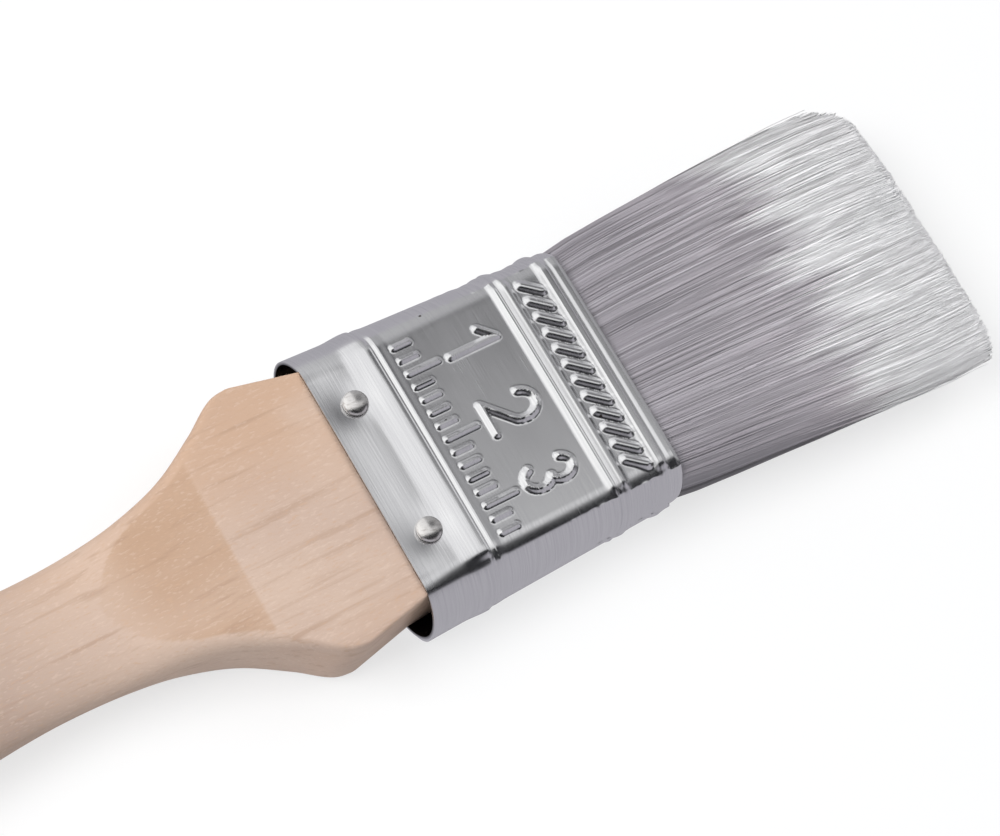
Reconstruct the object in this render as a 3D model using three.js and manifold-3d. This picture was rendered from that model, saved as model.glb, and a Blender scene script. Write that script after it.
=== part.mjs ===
// Flat trim brush, 1 1/2 inch: wooden handle, sheet metal ferrule, nails, resin, spacer, filament packs.
// Millimetres. The brush lies on its back: +X towards the filament tips, +Y across the width, +Z out of
// the front. Inside the brush group x is measured from the ferrule's open edge, z from mid-thickness.
import * as THREE from 'three';
import { mergeVertices } from 'three/addons/utils/BufferGeometryUtils.js';
import Module from 'manifold-3d';

const wasm = await Module();
wasm.setup();

// ---- driving dimensions ----
const FERRULE_LENGTH = 39.5;
const PANEL_HALF_WIDTH = 16.5;      // front and back panels, fold to fold, halved
const PANEL_LEVEL_HALF = 14.5;      // outside this the panel rolls off towards the fold
const FOLD_DROP = 0.4;
const OPEN_HALF_THICK = 7.6;        // ferrule at the handle end
const MOUTH_HALF_THICK = 6.9;       // ferrule at the filament end
const OPEN_BULGE = 4.1;             // how far the arched narrow sides stand out past the folds
const MOUTH_BULGE = 2.6;
const SHEET = 0.45;
const FIT_GAP = 0.3;

const HANDLE_OUT = 133;             // handle length outside the ferrule
const TENON_LENGTH = 14;
const TENON_END_SIZE = [15.9, 7.4]; // half width and half thickness before the flats are planed
const TENON_ROOT_SIZE = [16.2, 7.55];
const BLOCK_HALF_THICK = 6.85;      // flat faces of the handle block
const RIDGE_X = -19;                // where the flat faces end
const SCOOP_END_X = -36.7;          // where the scooped flats run out into the round neck
const SCOOP_DROP = 1.7;             // how far each scooped flat falls from ridge to end
const SHOULDER_X = -9.3;
const NECK_ROUND_X = -48;           // from here back the section is oval
const SQUARE_EXPONENT = 16;
const ROUND_EXPONENT = 2.4;
const TAIL_ROUND = 12.5;            // length of the rounded tail
const TAIL_HALF_WIDTH = 11.2;
const TAIL_HALF_THICK = 6.8;
const BELLY_CLEARANCE = 0.02;       // the belly lies almost level with the nail heads
const HANDLE_SIDES = 44;
const HANG_HOLE_RADIUS = 4;
const HANG_HOLE_X = -119;

const NAIL_X = 4.3;
const NAIL_Y = 9.5;
const NAIL_HEAD_RADIUS = 1.75;
const NAIL_HEAD_HEIGHT = 0.8;
const NAIL_SHANK_RADIUS = 0.8;
const NAIL_LENGTH = 6.4;
const HEAD_CLEARANCE = 0.15;

const RESIN_END = 23.7;
const FILAMENT_REACH = 94;          // filament tips from the ferrule's open edge
const FILAMENT_ROOT = RESIN_END + FIT_GAP;
const SPACER_END = 37;
const SPACER_HALF_THICK = 1.5;
const SPACER_HALF_WIDTH = 17;
const FILAMENT_EXPONENT = 4;

// ---- small helpers ----
const clamp01 = (value) => Math.min(1, Math.max(0, value));
const mix = (a, b, t) => a + (b - a) * t;

// Sine or cosine bent to a superellipse of the given exponent.
const bow = (value, exponent) => Math.sign(value) * Math.abs(value) ** (2 / exponent);

// One closed loop of a superellipse across the brush at x.
function superellipse(x, halfWidth, halfThick, exponent, count) {
  const loop = [];
  for (let i = 0; i < count; i += 1) {
    const angle = (2 * Math.PI * i) / count;
    const y = halfWidth * bow(Math.cos(angle), exponent);
    const z = halfThick * bow(Math.sin(angle), exponent);
    loop.push(new THREE.Vector3(x, y, z));
  }
  return loop;
}

// Skin over a list of loops with equal counts. A tube of loops closes on itself, other ends get caps.
function skin(loops, closeOnItself = false) {
  const count = loops[0].length;
  const positions = loops.flat().flatMap((point) => [point.x, point.y, point.z]);
  const indices = [];
  const bands = closeOnItself ? loops.length : loops.length - 1;
  for (let row = 0; row < bands; row += 1) {
    const next = (row + 1) % loops.length;
    for (let i = 0; i < count; i += 1) {
      const j = (i + 1) % count;
      const [a, b, c, d] = [row * count + i, row * count + j, next * count + i, next * count + j];
      indices.push(a, b, c, b, d, c);
    }
  }
  if (!closeOnItself) {
    for (const [row, flip] of [[0, true], [loops.length - 1, false]]) {
      const centre = loops[row].reduce((sum, point) => sum.add(point), new THREE.Vector3());
      centre.divideScalar(count);
      const hub = positions.length / 3;
      positions.push(centre.x, centre.y, centre.z);
      for (let i = 0; i < count; i += 1) {
        const a = row * count + i;
        const b = row * count + ((i + 1) % count);
        indices.push(hub, flip ? b : a, flip ? a : b);
      }
    }
  }
  const geometry = new THREE.BufferGeometry();
  geometry.setAttribute('position', new THREE.Float32BufferAttribute(positions, 3));
  geometry.setIndex(indices);
  return geometry;
}

function toSolid(geometry) {
  const bare = geometry.clone();
  bare.deleteAttribute('normal');
  bare.deleteAttribute('uv');
  const merged = mergeVertices(bare, 1e-4);
  return new wasm.Manifold(new wasm.Mesh({
    numProp: 3,
    vertProperties: new Float32Array(merged.attributes.position.array),
    triVerts: new Uint32Array(merged.index.array),
  }));
}

function toGeometry(solid) {
  const mesh = solid.getMesh();
  const geometry = new THREE.BufferGeometry();
  geometry.setAttribute('position', new THREE.BufferAttribute(mesh.vertProperties, 3));
  geometry.setIndex(new THREE.BufferAttribute(mesh.triVerts, 1));
  return geometry;
}

// A round cutter along Z.
function drill(x, y, radius, zLow, zHigh, segments) {
  const cutter = new THREE.CylinderGeometry(radius, radius, zHigh - zLow, segments);
  cutter.rotateX(Math.PI / 2);
  cutter.translate(x, y, (zLow + zHigh) / 2);
  return toSolid(cutter);
}

// ---- ferrule envelope, shared by everything that sits in it ----
const along = (x) => x / FERRULE_LENGTH;
const ferruleHalfThick = (x) => mix(OPEN_HALF_THICK, MOUTH_HALF_THICK, along(x));
const ferruleBulge = (x) => mix(OPEN_BULGE, MOUTH_BULGE, along(x));

// Loop of the ferrule's section at x, offset outwards (or inwards when negative).
// Each narrow side is an arc from fold to fold; the panels roll off a little before they reach the folds.
function ferruleLoop(x, offset, sideCount = 12) {
  const halfThick = ferruleHalfThick(x);
  const foldHalf = halfThick - FOLD_DROP;
  const bulge = ferruleBulge(x);
  const radius = (foldHalf ** 2 + bulge ** 2) / (2 * bulge);
  const centre = PANEL_HALF_WIDTH + bulge - radius;
  const halfAngle = Math.asin(foldHalf / radius);
  const loop = [];
  for (const side of [1, -1]) {
    loop.push(new THREE.Vector3(x, side * PANEL_LEVEL_HALF, -side * (halfThick + offset)));
    for (let i = 0; i <= sideCount; i += 1) {
      const angle = halfAngle * ((2 * i) / sideCount - 1);
      const y = centre + (radius + offset) * Math.cos(angle);
      const z = (radius + offset) * Math.sin(angle);
      loop.push(new THREE.Vector3(x, side * y, side * z));
    }
    loop.push(new THREE.Vector3(x, side * PANEL_LEVEL_HALF, side * (halfThick + offset)));
  }
  return loop;
}

const NAIL_SITES = [
  { name: 'nail_front_left', y: NAIL_Y, side: 1 },
  { name: 'nail_front_right', y: -NAIL_Y, side: 1 },
  { name: 'nail_back_left', y: NAIL_Y, side: -1 },
  { name: 'nail_back_right', y: -NAIL_Y, side: -1 },
];

// Raised beads rolled round the ferrule: [x, height] of their turning points.
const BEAD_PROFILE = [
  [0, 0], [8.5, 0], [9.2, 0.5], [10.0, 0.5], [10.8, 0],
  [28.6, 0], [29.4, 0.55], [30.3, 0.2], [31.3, 0.55], [32.1, 0],
  [35.7, 0], [36.4, 0.55], [37.6, 0.55], [38.3, 0.15], [FERRULE_LENGTH, 0.15],
];

function ferruleGeometry() {
  const outer = BEAD_PROFILE.map(([x, height]) => ferruleLoop(x, height));
  const inner = BEAD_PROFILE.map(([x, height]) => ferruleLoop(x, height - SHEET)).reverse();
  let solid = toSolid(skin([...outer, ...inner], true));
  const holeRadius = NAIL_SHANK_RADIUS + FIT_GAP;
  for (const y of [-NAIL_Y, NAIL_Y]) {
    solid = solid.subtract(drill(NAIL_X, y, holeRadius, -2 * OPEN_HALF_THICK, 2 * OPEN_HALF_THICK, 12));
  }
  return toGeometry(solid);
}

// ---- handle ----
const nailHeadTop = ferruleHalfThick(NAIL_X) + HEAD_CLEARANCE + NAIL_HEAD_HEIGHT;

const scoopEndHalf = BLOCK_HALF_THICK - SCOOP_DROP;
const tailStart = TAIL_ROUND - HANDLE_OUT;

// Stations of the handle from the shoulder to the tail: x, half width, half thickness.
const HANDLE_CURVE = new THREE.CatmullRomCurve3([
  new THREE.Vector3(SHOULDER_X, 18.9, 7.7),
  new THREE.Vector3(-11.4, 18.7, 7.6),
  new THREE.Vector3(-16.5, 15.6, 7.3),
  new THREE.Vector3(-22, 12.5, 7.1),
  new THREE.Vector3(-30, 10.2, 6.5),
  new THREE.Vector3(SCOOP_END_X, 9.45, scoopEndHalf),
  new THREE.Vector3(-46, 9.1, 4.85),
  new THREE.Vector3(-64, 10.5, 6.2),
  new THREE.Vector3(-92, 13.6, nailHeadTop - BELLY_CLEARANCE),
  new THREE.Vector3(-110, 12.6, 7.7),
  new THREE.Vector3(tailStart, TAIL_HALF_WIDTH, TAIL_HALF_THICK),
]);

function handleLoop(x, halfWidth, halfThick) {
  const squareness = clamp01((x - NECK_ROUND_X) / (SHOULDER_X - NECK_ROUND_X)) ** 3;
  const exponent = mix(ROUND_EXPONENT, SQUARE_EXPONENT, squareness);
  return superellipse(x, halfWidth, halfThick, exponent, HANDLE_SIDES);
}

function handleLoops() {
  const loops = [handleLoop(TENON_LENGTH, ...TENON_END_SIZE), handleLoop(0, ...TENON_ROOT_SIZE)];
  const curveSteps = 38;
  for (let i = 0; i <= curveSteps; i += 1) {
    const point = HANDLE_CURVE.getPoint(i / curveSteps);
    loops.push(handleLoop(point.x, point.y, point.z));
  }
  const tailSteps = 8;
  for (let i = 1; i <= tailSteps; i += 1) {
    const angle = (Math.PI / 2) * Math.min(i / tailSteps, 0.97);
    const shrink = Math.cos(angle);
    const x = tailStart - TAIL_ROUND * Math.sin((Math.PI / 2) * (i / tailSteps));
    loops.push(handleLoop(x, TAIL_HALF_WIDTH * shrink, TAIL_HALF_THICK * Math.sqrt(shrink)));
  }
  return loops.reverse();
}

// Side view of the flats: level over the tenon and block, then sloping down behind the ridge on both faces.
function flatsCutter() {
  const clearOfHandle = 2 * OPEN_HALF_THICK;
  const upper = [
    [TENON_LENGTH + 1, BLOCK_HALF_THICK - FIT_GAP],
    [0, BLOCK_HALF_THICK],
    [RIDGE_X, BLOCK_HALF_THICK],
    [SCOOP_END_X, scoopEndHalf],
    [NECK_ROUND_X, clearOfHandle],
    [-HANDLE_OUT - 1, clearOfHandle],
  ];
  const lower = upper.map(([x, z]) => [x, -z]).reverse();
  const shape = new THREE.Shape([...upper, ...lower].map(([x, z]) => new THREE.Vector2(x, z)));
  const depth = 4 * PANEL_HALF_WIDTH;
  const slab = new THREE.ExtrudeGeometry(shape, { depth, bevelEnabled: false });
  slab.rotateX(Math.PI / 2);
  slab.translate(0, depth / 2, 0);
  return toSolid(slab);
}

function handleGeometry() {
  const through = 2 * OPEN_HALF_THICK;
  let solid = toSolid(skin(handleLoops())).intersect(flatsCutter());
  solid = solid.subtract(drill(HANG_HOLE_X, 0, HANG_HOLE_RADIUS, -through, through, 24));
  const holeEnd = ferruleHalfThick(NAIL_X) - NAIL_LENGTH - FIT_GAP;
  for (const { y, side } of NAIL_SITES) {
    const [low, high] = side > 0 ? [holeEnd, through] : [-through, -holeEnd];
    solid = solid.subtract(drill(NAIL_X, y, NAIL_SHANK_RADIUS + FIT_GAP, low, high, 12));
  }
  return toGeometry(solid);
}

// ---- nails: a pointed shank under a domed head, made pointing down at the origin ----
function nailGeometry() {
  const profile = [
    new THREE.Vector2(0, -NAIL_LENGTH),
    new THREE.Vector2(NAIL_SHANK_RADIUS, 1.4 - NAIL_LENGTH),
    new THREE.Vector2(NAIL_SHANK_RADIUS, HEAD_CLEARANCE),
  ];
  for (let i = 0; i <= 5; i += 1) {
    const angle = (Math.PI / 2) * (i / 5);
    const radius = i === 5 ? 0 : NAIL_HEAD_RADIUS * Math.cos(angle);
    profile.push(new THREE.Vector2(radius, HEAD_CLEARANCE + NAIL_HEAD_HEIGHT * Math.sin(angle)));
  }
  const nail = new THREE.LatheGeometry(profile, 16);
  nail.rotateX(Math.PI / 2);
  return nail;
}

// ---- resin that holds the filament roots behind the tenon ----
function resinGeometry() {
  const clearance = -SHEET - FIT_GAP;
  return skin([TENON_LENGTH + 2 * FIT_GAP, RESIN_END].map((x) => ferruleLoop(x, clearance)));
}

// ---- spacer strip between the two filament packs ----
function spacerGeometry() {
  const shape = new THREE.Shape([
    new THREE.Vector2(FILAMENT_ROOT, -SPACER_HALF_THICK),
    new THREE.Vector2(SPACER_END, -0.6 * SPACER_HALF_THICK),
    new THREE.Vector2(SPACER_END, 0.6 * SPACER_HALF_THICK),
    new THREE.Vector2(FILAMENT_ROOT, SPACER_HALF_THICK),
  ]);
  const strip = new THREE.ExtrudeGeometry(shape, { depth: 2 * SPACER_HALF_WIDTH, bevelEnabled: false });
  strip.rotateX(Math.PI / 2);
  strip.translate(0, SPACER_HALF_WIDTH, 0);
  return strip;
}

// ---- filament packs: x, half width, half thickness of the whole brush head ----
const FILAMENT_CURVE = new THREE.CatmullRomCurve3([
  new THREE.Vector3(FILAMENT_ROOT, 18.0, 5.9),
  new THREE.Vector3(FERRULE_LENGTH, 18.2, 5.9),
  new THREE.Vector3(44, 19.9, 6.4),
  new THREE.Vector3(58, 20.7, 5.9),
  new THREE.Vector3(74, 21.5, 4.6),
  new THREE.Vector3(88, 21.7, 3.3),
  new THREE.Vector3(92.4, 20.3, 2.6),
  new THREE.Vector3(FILAMENT_REACH, 17.5, 1.9),
]);

function filamentGeometry(side) {
  const loops = [];
  const steps = 16;
  const arcSteps = 14;
  const rootGap = SPACER_HALF_THICK + FIT_GAP;
  for (let i = 0; i <= steps; i += 1) {
    const { x, y: halfWidth, z: halfThick } = FILAMENT_CURVE.getPoint(i / steps);
    const parting = mix(rootGap, FIT_GAP / 2, clamp01((x - SPACER_END) / 14));
    const loop = [];
    for (let k = 0; k <= arcSteps; k += 1) {
      const angle = (Math.PI * k) / arcSteps;
      const y = halfWidth * bow(Math.cos(angle), FILAMENT_EXPONENT);
      const z = mix(parting, halfThick, Math.abs(bow(Math.sin(angle), FILAMENT_EXPONENT)));
      loop.push(new THREE.Vector3(x, side * y, side * z));
    }
    loops.push(loop);
  }
  return skin(loops);
}

// ---- assembly ----
const wood = () => new THREE.MeshStandardMaterial({ color: 0xcdaf96, roughness: 0.75, metalness: 0 });
const steel = () => new THREE.MeshStandardMaterial({ color: 0xb4b4b8, roughness: 0.3, metalness: 1 });
const resin = () => new THREE.MeshStandardMaterial({ color: 0x6b5a3c, roughness: 0.4, metalness: 0 });
const pine = () => new THREE.MeshStandardMaterial({ color: 0xc8ab80, roughness: 0.8, metalness: 0 });
const nylon = () => new THREE.MeshStandardMaterial({ color: 0xa9a4a9, roughness: 0.5, metalness: 0 });

function addPiece(group, name, geometry, material) {
  const mesh = new THREE.Mesh(geometry, material);
  mesh.name = name;
  group.add(mesh);
  return mesh;
}

const brush = new THREE.Group();
brush.position.set((HANDLE_OUT - FILAMENT_REACH) / 2, 0, nailHeadTop);

addPiece(brush, 'handle', handleGeometry(), wood());
addPiece(brush, 'ferrule', ferruleGeometry(), steel());
for (const { name, y, side } of NAIL_SITES) {
  const nail = addPiece(brush, name, nailGeometry(), steel());
  nail.position.set(NAIL_X, y, side * ferruleHalfThick(NAIL_X));
  nail.rotation.x = side > 0 ? 0 : Math.PI;
}
addPiece(brush, 'resin_plug', resinGeometry(), resin());
addPiece(brush, 'spacer_strip', spacerGeometry(), pine());
addPiece(brush, 'filament_pack_front', filamentGeometry(1), nylon());
addPiece(brush, 'filament_pack_back', filamentGeometry(-1), nylon());

const object = new THREE.Group();
object.add(brush);

export default object;
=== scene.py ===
import logging
import math
from dataclasses import dataclass, field
from enum import Enum

import bmesh
import bpy
import numpy as np
from mathutils import Matrix, Vector


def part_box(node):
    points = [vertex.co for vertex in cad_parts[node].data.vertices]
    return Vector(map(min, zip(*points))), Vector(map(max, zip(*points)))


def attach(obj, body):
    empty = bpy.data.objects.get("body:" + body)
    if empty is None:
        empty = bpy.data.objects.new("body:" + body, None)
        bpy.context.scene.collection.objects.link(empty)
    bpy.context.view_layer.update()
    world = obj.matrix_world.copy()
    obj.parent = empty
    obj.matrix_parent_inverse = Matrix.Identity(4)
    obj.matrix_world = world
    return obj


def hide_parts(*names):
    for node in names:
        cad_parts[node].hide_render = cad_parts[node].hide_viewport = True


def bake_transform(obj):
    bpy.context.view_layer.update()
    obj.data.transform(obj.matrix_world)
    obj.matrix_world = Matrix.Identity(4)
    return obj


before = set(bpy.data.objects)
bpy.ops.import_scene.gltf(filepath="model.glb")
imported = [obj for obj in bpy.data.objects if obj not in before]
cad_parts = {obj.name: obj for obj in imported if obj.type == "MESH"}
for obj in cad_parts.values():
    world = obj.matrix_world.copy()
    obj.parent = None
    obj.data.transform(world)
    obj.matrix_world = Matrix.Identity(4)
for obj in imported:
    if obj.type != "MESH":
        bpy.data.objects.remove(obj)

LOG = logging.getLogger("brush")
MM = 0.001
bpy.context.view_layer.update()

FERRULE_LOW, FERRULE_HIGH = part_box("ferrule")
FILAMENT_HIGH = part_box("filament_pack_front")[1]
HANDLE_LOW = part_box("handle")[0]
OPEN_X = FERRULE_LOW.x
MOUTH_X = FERRULE_HIGH.x
TIP_X = FILAMENT_HIGH.x
TAIL_X = HANDLE_LOW.x
MID_Z = (FERRULE_LOW.z + FERRULE_HIGH.z) / 2


class Side(Enum):
    """The two broad sides of the brush."""

    FRONT = 1
    BACK = -1


class Slot(Enum):
    """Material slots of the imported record."""

    WOOD = "handle_wood"
    FERRULE = "ferrule_metal"
    NAIL = "nail_metal"
    RESIN = "resin"
    SPACER = "spacer_wood"
    FILAMENT = "filament"


# ---------------------------------------------------------------- small mathematics


def smoothstep(low: float, high: float, value: np.ndarray) -> np.ndarray:
    """Return a smooth 0 to 1 ramp.

    Args:
        low: value at which the ramp leaves 0.
        high: value at which the ramp reaches 1.
        value: numbers to map.

    Returns:
        The ramp's height for each number.
    """
    t = np.clip((np.asarray(value, float) - low) / (high - low), 0.0, 1.0)
    return t * t * (3.0 - 2.0 * t)


def ridge(x: np.ndarray, start: float, top: float, top_end: float, end: float) -> np.ndarray:
    """Return a rolled ridge of height 1 that rises from start to top and falls from top_end to end."""
    return np.minimum(smoothstep(start, top, x), 1.0 - smoothstep(top_end, end, x))


def bow(value: np.ndarray, exponent: np.ndarray | float) -> np.ndarray:
    """Bend a sine or cosine to a superellipse of the given exponent."""
    return np.sign(value) * np.abs(value) ** (2.0 / exponent)


def through(stations: list[tuple[float, ...]], x: np.ndarray) -> list[np.ndarray]:
    """Run smooth curves through stations.

    Args:
        stations: rows of x followed by one or more values.
        x: places at which the curves are read.

    Returns:
        One array of values for each column after x.
    """
    rows = np.array(sorted(stations), float)
    knots = rows[:, 0]
    at = np.clip(x, knots[0], knots[-1])
    k = np.clip(np.searchsorted(knots, at, side="right") - 1, 0, len(knots) - 2)
    span = knots[k + 1] - knots[k]
    t = (at - knots[k]) / span
    curves = []
    for values in rows[:, 1:].T:
        slope = np.gradient(values, knots)
        start, end = values[k], values[k + 1]
        curves.append(
            start * (1 + 2 * t) * (1 - t) ** 2
            + end * t * t * (3 - 2 * t)
            + span * (slope[k] * t * (1 - t) ** 2 - slope[k + 1] * t * t * (1 - t))
        )
    return curves


def smooth_min(a: np.ndarray, b: np.ndarray, softness: float) -> np.ndarray:
    """Return the lower of two heights with a sanded, rounded corner between them."""
    h = np.clip(0.5 + 0.5 * (b - a) / softness, 0.0, 1.0)
    return b * (1 - h) + a * h - softness * h * (1 - h)


# ---------------------------------------------------------------- meshes


def mesh_object(name: str, vertices: np.ndarray, faces: list | np.ndarray) -> bpy.types.Object:
    """Make a smooth mesh object whose place is in its mesh.

    Args:
        name: name of the piece.
        vertices: points in metres, one row each.
        faces: index tuples.

    Returns:
        The linked object.
    """
    mesh = bpy.data.meshes.new(name)
    mesh.from_pydata(np.asarray(vertices).tolist(), [], [list(map(int, face)) for face in faces])
    mesh.update()
    mesh.shade_smooth()
    obj = bpy.data.objects.new(name, mesh)
    bpy.context.scene.collection.objects.link(obj)
    return obj


def grid_faces(rows: int, columns: int, closed_rows: bool) -> np.ndarray:
    """Return quads over a grid of rows whose columns close on themselves.

    Args:
        rows: number of rows.
        columns: number of points in a row.
        closed_rows: whether the last row joins the first.

    Returns:
        Four point numbers for each face.
    """
    r = np.arange(rows if closed_rows else rows - 1)[:, None]
    c = np.arange(columns)[None, :]
    n = (r + 1) % rows
    d = (c + 1) % columns
    quads = np.stack([r * columns + c, r * columns + d, n * columns + d, n * columns + c], -1)
    return quads.reshape(-1, 4)


def capped_tube(name: str, points: np.ndarray) -> bpy.types.Object:
    """Make a tube with a flat face at each end.

    Args:
        name: name of the piece.
        points: points in metres, by row along the tube and column round it.

    Returns:
        The closed object, faces outwards.
    """
    rows, columns = points.shape[:2]
    faces = grid_faces(rows, columns, False).tolist()
    faces.append(list(range(columns)))
    faces.append([(rows - 1) * columns + i for i in range(columns)][::-1])
    obj = mesh_object(name, points.reshape(-1, 3), faces)
    face_outwards(obj)
    return obj


def set_attribute(obj: bpy.types.Object, name: str, values: np.ndarray) -> None:
    """Store a number at each vertex for the materials to read."""
    layer = obj.data.attributes.new(name, "FLOAT", "POINT")
    layer.data.foreach_set("value", np.asarray(values, np.float32).ravel())


def bake_modifiers(obj: bpy.types.Object) -> bpy.types.Object:
    """Replace an object's mesh by its evaluated mesh and drop its modifiers.

    Args:
        obj: object whose modifiers are applied.

    Returns:
        The same object.
    """
    depsgraph = bpy.context.evaluated_depsgraph_get()
    mesh = bpy.data.meshes.new_from_object(obj.evaluated_get(depsgraph), depsgraph=depsgraph)
    obj.modifiers.clear()
    old = obj.data
    obj.data = mesh
    bpy.data.meshes.remove(old)
    obj.data.name = obj.name
    return obj


def face_outwards(obj: bpy.types.Object) -> None:
    """Point every face of a closed mesh outwards.

    Args:
        obj: object with a closed mesh.
    """
    work = bmesh.new()
    work.from_mesh(obj.data)
    bmesh.ops.recalc_face_normals(work, faces=work.faces)
    work.to_mesh(obj.data)
    work.free()


def lathe(name: str, profile: list[tuple[float, float]], steps: int) -> bpy.types.Object:
    """Turn a profile round the Z axis.

    Args:
        name: name of the piece.
        profile: radius and height pairs that start and end on the axis.
        steps: number of steps round the axis.

    Returns:
        The closed, turned object.
    """
    angles = np.linspace(0, 2 * math.pi, steps, endpoint=False)
    rings = profile[1:-1]
    points = [(r * math.cos(a), r * math.sin(a), z) for r, z in rings for a in angles]
    faces = grid_faces(len(rings), steps, False).tolist()
    first = len(points)
    points += [(0, 0, profile[0][1]), (0, 0, profile[-1][1])]
    last_ring = (len(rings) - 1) * steps
    for i in range(steps):
        j = (i + 1) % steps
        faces.append((first, j, i))
        faces.append((first + 1, last_ring + i, last_ring + j))
    obj = mesh_object(name, points, faces)
    face_outwards(obj)
    return obj


# ---------------------------------------------------------------- node tree building

Socket = bpy.types.NodeSocket
Value = Socket | float | tuple


class TreeBuilder:
    """Adds and links nodes in a shader or geometry node tree."""

    def __init__(self, tree: bpy.types.NodeTree) -> None:
        """Keep the tree that this builder works on."""
        self.tree = tree

    def node(self, kind: str, inputs: dict | None = None, **settings: object) -> bpy.types.Node:
        """Add a node.

        Args:
            kind: Blender's class name of the node.
            inputs: values or sockets by input name or number.
            settings: properties of the node itself.

        Returns:
            The new node.
        """
        made = self.tree.nodes.new(kind)
        for key, value in settings.items():
            setattr(made, key, value)
        for key, value in (inputs or {}).items():
            self.feed(made.inputs[key], value)
        return made

    def feed(self, socket: Socket, value: Value) -> None:
        """Link a socket to another, or set its value.

        Args:
            socket: input socket.
            value: socket to link from, or value to set.
        """
        if isinstance(value, bpy.types.NodeSocket):
            self.tree.links.new(value, socket)
        else:
            socket.default_value = value

    def math(self, operation: str, a: Value, b: Value = 0.0, c: Value = 0.0) -> Socket:
        """Return the result of a Math node."""
        made = self.node("ShaderNodeMath", {0: a, 1: b, 2: c}, operation=operation)
        return made.outputs[0]

    def ramp(self, value: Value, low: float, high: float) -> Socket:
        """Return a smooth 0 to 1 ramp of a value."""
        made = self.node(
            "ShaderNodeMapRange",
            {"Value": value, "From Min": low, "From Max": high},
            interpolation_type="SMOOTHSTEP",
        )
        return made.outputs["Result"]

    def mix_colour(self, factor: Value, a: Value, b: Value, blend: str = "MIX") -> Socket:
        """Return a mix of two colours.

        Args:
            factor: share of the second colour.
            a: first colour.
            b: second colour.
            blend: Blender's name of the way to mix.

        Returns:
            The mixed colour.
        """
        made = self.node("ShaderNodeMix", data_type="RGBA", blend_type=blend)
        self.feed(made.inputs[0], factor)
        self.feed(made.inputs[6], a)
        self.feed(made.inputs[7], b)
        return made.outputs[2]

    def noise(self, vector: Socket, scale: float, detail: float = 3.0, rough: float = 0.5) -> Socket:
        """Return noise from 0 to 1 at the given points."""
        made = self.node(
            "ShaderNodeTexNoise",
            {"Vector": vector, "Scale": scale, "Detail": detail, "Roughness": rough},
        )
        return made.outputs["Fac"]

    def stretched(self, vector: Socket, scale: tuple, turn: tuple = (0, 0, 0)) -> Socket:
        """Return a vector turned and stretched by a Mapping node."""
        made = self.node("ShaderNodeMapping", {"Vector": vector, "Scale": scale, "Rotation": turn})
        return made.outputs["Vector"]


def shader_group(name: str, inputs: dict[str, float], outputs: list[str]) -> tuple:
    """Start a shader node group with float inputs and outputs.

    Args:
        name: name of the group.
        inputs: default value of each input.
        outputs: names of the outputs.

    Returns:
        The group, its builder, its input node and its output node.
    """
    group = bpy.data.node_groups.new(name, "ShaderNodeTree")
    for label, value in inputs.items():
        socket = group.interface.new_socket(label, in_out="INPUT", socket_type="NodeSocketFloat")
        socket.default_value = value
    for label in outputs:
        group.interface.new_socket(label, in_out="OUTPUT", socket_type="NodeSocketFloat")
    build = TreeBuilder(group)
    return group, build, build.node("NodeGroupInput"), build.node("NodeGroupOutput")


def fine_line_group() -> bpy.types.NodeTree:
    """Build the group of fine parallel lines: brushed metal, wood pores and filament streaks.

    Returns:
        A group with inputs Along, Across, Depth and Turn and outputs Lines and Patches.
    """
    group, build, source, sink = shader_group(
        "fine_lines", {"Along": 60.0, "Across": 4000.0, "Depth": 4000.0, "Turn": 0.0}, ["Lines", "Patches"]
    )
    place = build.node("ShaderNodeTexCoord").outputs["Object"]
    turn = build.node("ShaderNodeCombineXYZ", {"Z": source.outputs["Turn"]}).outputs[0]
    turned = build.node(
        "ShaderNodeVectorRotate", {"Vector": place, "Rotation": turn}, rotation_type="EULER_XYZ"
    )
    scale = build.node(
        "ShaderNodeCombineXYZ",
        {"X": source.outputs["Along"], "Y": source.outputs["Across"], "Z": source.outputs["Depth"]},
    ).outputs[0]
    scaled = build.node(
        "ShaderNodeVectorMath", {0: turned.outputs[0], 1: scale}, operation="MULTIPLY"
    ).outputs[0]
    build.feed(sink.inputs["Lines"], build.noise(scaled, 1.0, 2.0, 0.6))
    build.feed(sink.inputs["Patches"], build.noise(place, 90.0, 3.0, 0.55))
    return group


def speck_group() -> bpy.types.NodeTree:
    """Build the group of small dark specks.

    Returns:
        A group with inputs Density and Size and the output Specks, 1 on a speck.
    """
    group, build, source, sink = shader_group(
        "specks", {"Density": 300.0, "Size": 0.06}, ["Specks"]
    )
    place = build.node("ShaderNodeTexCoord").outputs["Object"]
    cells = build.node(
        "ShaderNodeTexVoronoi", {"Vector": place, "Scale": source.outputs["Density"]}
    )
    chance = build.node("ShaderNodeSeparateColor", {"Color": cells.outputs["Color"]}).outputs[0]
    rare = build.math("GREATER_THAN", chance, 0.93)
    near = build.math("LESS_THAN", cells.outputs["Distance"], source.outputs["Size"])
    build.feed(sink.inputs["Specks"], build.math("MULTIPLY", rare, near))
    return group


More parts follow.
